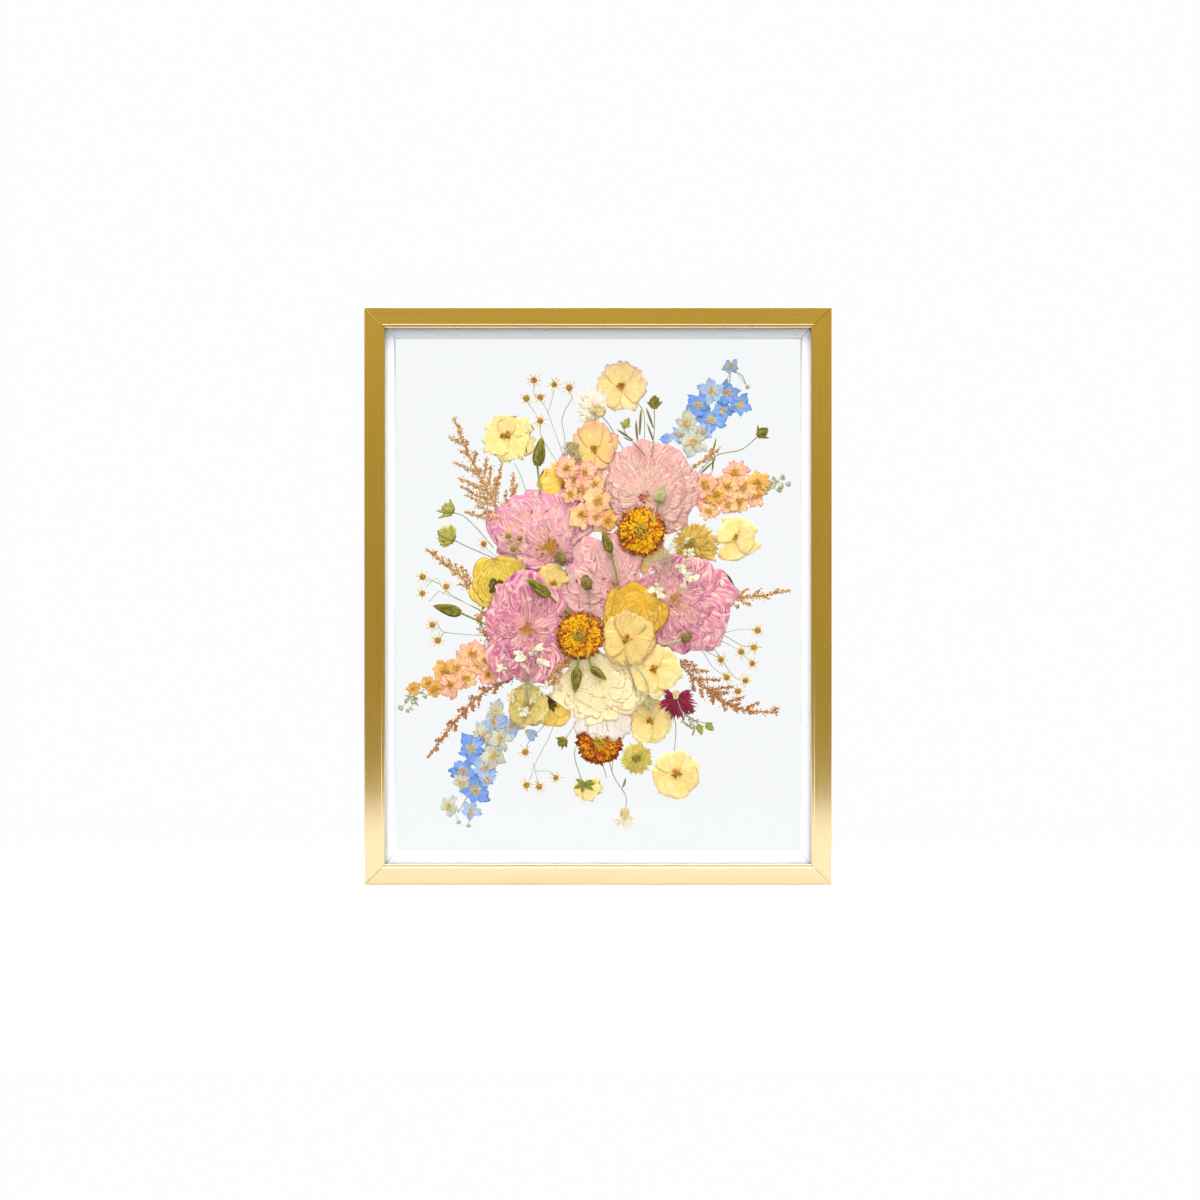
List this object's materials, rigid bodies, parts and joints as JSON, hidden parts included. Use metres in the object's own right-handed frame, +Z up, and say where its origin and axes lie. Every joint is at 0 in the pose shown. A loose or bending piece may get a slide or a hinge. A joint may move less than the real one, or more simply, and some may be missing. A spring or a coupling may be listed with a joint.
{
  "type": "pressed flower frame",
  "caption": "Upright gilt picture frame with two panes of glass held apart by white spacers, and a bouquet of pressed flowers sealed between them.",
  "frame": {"origin": "middle of the footprint, on the surface that the bottom rail stands on", "axes": "+Z up along the tall sides, +X to the right as seen from the front, and the front of the frame faces -Y"},
  "size_m": [0.432, 0.0344, 0.534],
  "materials": {
    "gilt_wood": "brushed gold leaf on wood, satin sheen",
    "clear_glass": "clear polished picture glass",
    "white_spacer": "matte white",
    "zinc_steel": "zinc plated",
    "peony_pink": "dry crinkled petals, pink fading to cream",
    "peony_magenta": "dry crinkled petals, magenta with pale streaks",
    "rose_cream": "dry crinkled petals, cream",
    "ranunculus_yellow": "dry petals, golden yellow",
    "strawflower_rust": "stiff dry bracts, rust outside and yellow inside",
    "cosmos_peach": "thin dry petals, yellow with peach edges",
    "cosmos_lemon": "thin dry petals, lemon yellow",
    "stock_peach": "thin dry petals, peach and gold with pink edges",
    "delphinium_blue": "thin dry petals, blue fading to cream",
    "astilbe_tan": "dry brown plume",
    "scabiosa_gold": "dry fringed petals, old gold",
    "cornflower_burgundy": "dry fringed petals, deep burgundy",
    "lace_white": "dry creamy white florets on thin green rays",
    "stem_green": "dry olive green stems, buds and leaves"
  },
  "bodies": {
    "root": {"rail_left": "gilt_wood", "rail_right": "gilt_wood", "rail_top": "gilt_wood", "rail_bottom": "gilt_wood", "spacer_left": "white_spacer", "spacer_right": "white_spacer", "spacer_top": "white_spacer", "spacer_bottom": "white_spacer", "glass_front": "clear_glass", "glass_back": "clear_glass", "glazing_point_1": "zinc_steel", "glazing_point_2": "zinc_steel", "glazing_point_3": "zinc_steel", "glazing_point_4": "zinc_steel", "glazing_point_5": "zinc_steel", "glazing_point_6": "zinc_steel", "sawtooth_hanger": "zinc_steel", "hanger_nail_left": "zinc_steel", "hanger_nail_right": "zinc_steel", "astilbe_upper_left": "astilbe_tan", "astilbe_left": "astilbe_tan", "astilbe_lower_left": "astilbe_tan", "astilbe_right": "astilbe_tan", "astilbe_lower_right": "astilbe_tan", "delphinium_upper": "delphinium_blue", "delphinium_lower": "delphinium_blue", "stock_right": "stock_peach", "stock_left": "stock_peach", "stock_middle": "stock_peach", "cosmos_peach_top": "cosmos_peach", "cosmos_peach_middle": "cosmos_peach", "cosmos_blush": "cosmos_peach", "cosmos_cream_small": "cosmos_peach", "cosmos_yellow_left": "cosmos_lemon", "cosmos_yellow_behind": "cosmos_lemon", "cosmos_side_view": "cosmos_lemon", "cosmos_lemon_bottom": "cosmos_lemon", "cosmos_lemon_lower": "cosmos_lemon", "cosmos_lemon_right": "cosmos_lemon", "cosmos_drooping": "cosmos_lemon", "cosmos_under_lace": "cosmos_lemon", "half_closed_bloom": "cosmos_lemon", "cornflower_white_top": "lace_white", "cornflower_white_bottom": "lace_white", "lace_lower": "lace_white", "lace_upper": "lace_white", "cornflower_burgundy": "cornflower_burgundy", "scabiosa_gold": "scabiosa_gold", "scabiosa_green": "scabiosa_gold", "strawflower_bottom": "strawflower_rust", "strawflower_middle": "strawflower_rust", "strawflower_top": "strawflower_rust", "peony_pink_top": "peony_pink", "peony_pink_left": "peony_pink", "peony_pink_middle": "peony_pink", "peony_magenta_right": "peony_magenta", "peony_magenta_left": "peony_magenta", "rose_cream": "rose_cream", "ranunculus_yellow": "ranunculus_yellow", "ranunculus_gold": "ranunculus_yellow"}
  },
  "joints": []
}
